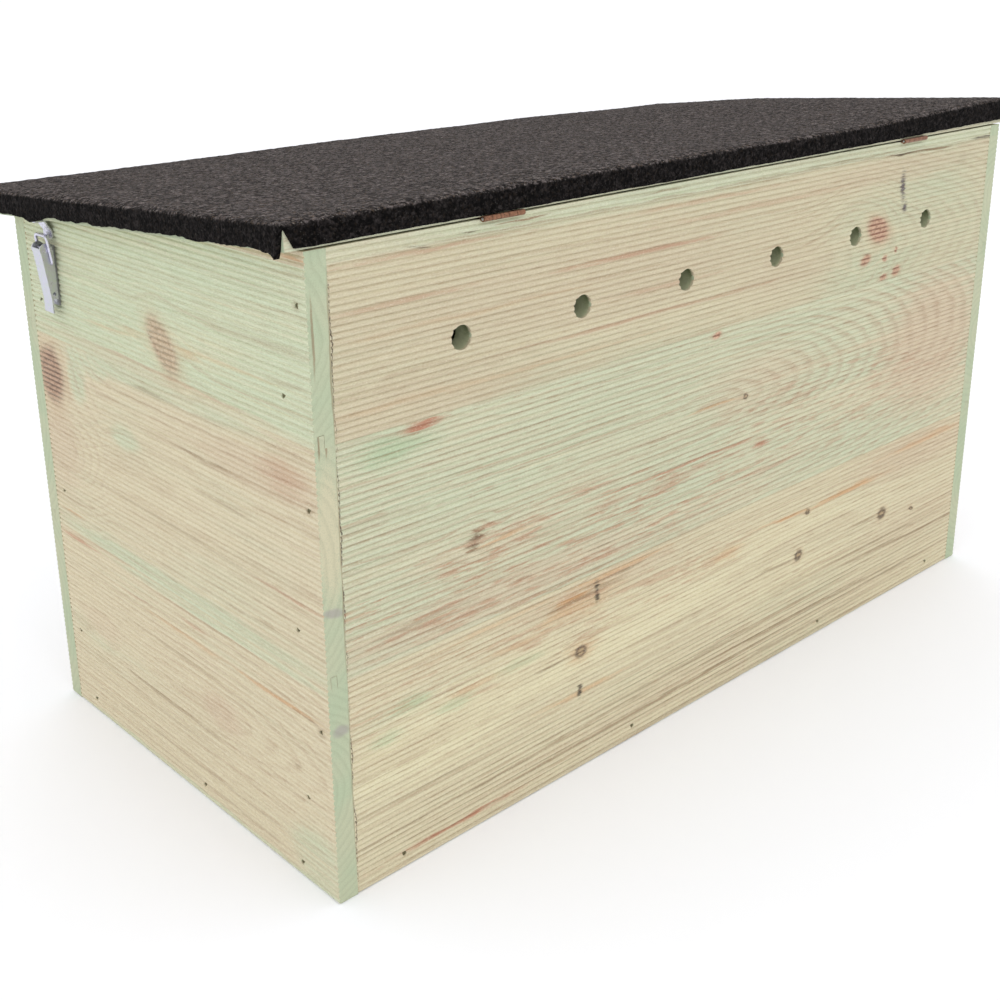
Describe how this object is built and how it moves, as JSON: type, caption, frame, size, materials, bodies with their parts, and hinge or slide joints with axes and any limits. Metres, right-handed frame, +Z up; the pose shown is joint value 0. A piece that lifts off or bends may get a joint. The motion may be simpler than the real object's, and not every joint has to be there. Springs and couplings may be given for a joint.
{
  "type": "hedgehog house",
  "caption": "Timber hedgehog house with grooved board walls, a sloping hinged lid covered in roofing felt, vent holes in the back and a toggle latch at each end.",
  "frame": {"origin": "middle of the overall footprint, on the ground", "axes": "+Z up, +X along the house's length, -Y is the vented back with the hinges, +Y is the front with the entrance; the latch seen in the picture faces -X"},
  "size_m": [0.7334, 0.3962, 0.4155],
  "materials": {
    "timber": "rough sawn, pressure treated",
    "green_timber": "rough sawn, green tinted",
    "inner_timber": "planed",
    "felt": "mineral granules",
    "brassed_steel": "bright plated",
    "zinc_steel": "zinc plated",
    "nail_steel": "dull"
  },
  "bodies": {
    "house": {"back_board_bottom": "timber", "back_board_middle": "green_timber", "back_board_vented": "timber", "back_top_strip": "timber", "front_board_bottom": "timber", "front_board_middle": "green_timber", "front_board_top": "timber", "left_end_board_bottom": "timber", "left_end_board_middle": "timber", "left_end_board_top": "green_timber", "left_end_top_strip": "timber", "right_end_board_bottom": "timber", "right_end_board_middle": "timber", "right_end_board_top": "green_timber", "right_end_top_strip": "timber", "floor_board_1": "inner_timber", "floor_board_2": "inner_timber", "floor_board_3": "inner_timber", "floor_board_4": "inner_timber", "floor_board_5": "inner_timber", "corner_post_back_left": "inner_timber", "corner_post_back_right": "inner_timber", "corner_post_front_left": "inner_timber", "corner_post_front_right": "inner_timber", "partition_board_bottom": "inner_timber", "partition_board_top": "inner_timber", "partition_cleat_back": "inner_timber", "partition_cleat_front": "inner_timber", "wall_nails": "nail_steel", "left_hinge_wall_leaf": "brassed_steel", "left_hinge_pin": "zinc_steel", "right_hinge_wall_leaf": "brassed_steel", "right_hinge_pin": "zinc_steel", "hinge_wall_screws": "brassed_steel", "left_latch_base": "zinc_steel", "left_latch_rivet": "zinc_steel", "right_latch_base": "zinc_steel", "right_latch_rivet": "zinc_steel", "latch_base_screws": "zinc_steel"},
    "lid": {"lid_board_back": "timber", "lid_board_middle": "timber", "lid_board_front": "timber", "lid_batten_left": "inner_timber", "lid_batten_right": "inner_timber", "roofing_felt": "felt", "left_hinge_lid_leaf": "brassed_steel", "right_hinge_lid_leaf": "brassed_steel", "hinge_lid_screws": "brassed_steel", "left_latch_strike": "zinc_steel", "right_latch_strike": "zinc_steel", "latch_strike_screws": "zinc_steel"},
    "left_lever": {"left_latch_lever": "zinc_steel"},
    "right_lever": {"right_latch_lever": "zinc_steel"},
    "left_loop": {"left_latch_loop": "zinc_steel"},
    "right_loop": {"right_latch_loop": "zinc_steel"}
  },
  "joints": [
    {"name": "lid_hinge", "type": "hinge", "parent": "house", "child": "lid", "pos_m": [0, -0.1963, 0.39842], "axis": [1, 0, 0], "range_deg": [0, 180]},
    {"name": "left_lever_hinge", "type": "hinge", "parent": "house", "child": "left_lever", "pos_m": [-0.3602, 0.09647, 0.35506], "axis": [0, 1, 0], "range_deg": [0, 120]},
    {"name": "left_loop_hinge", "type": "hinge", "parent": "left_lever", "child": "left_loop", "pos_m": [-0.3575, 0.09647, 0.34556], "axis": [0, 1, 0], "range_deg": [-150, 0]},
    {"name": "right_lever_hinge", "type": "hinge", "parent": "house", "child": "right_lever", "pos_m": [0.3602, 0.09647, 0.35506], "axis": [0, -1, 0], "range_deg": [0, 120]},
    {"name": "right_loop_hinge", "type": "hinge", "parent": "right_lever", "child": "right_loop", "pos_m": [0.3575, 0.09647, 0.34556], "axis": [0, -1, 0], "range_deg": [-150, 0]}
  ],
  "couplings": [
    {"joint": "left_loop_hinge", "follows": "left_lever_hinge", "ratio": -1.2},
    {"joint": "right_loop_hinge", "follows": "right_lever_hinge", "ratio": -1.2}
  ]
}
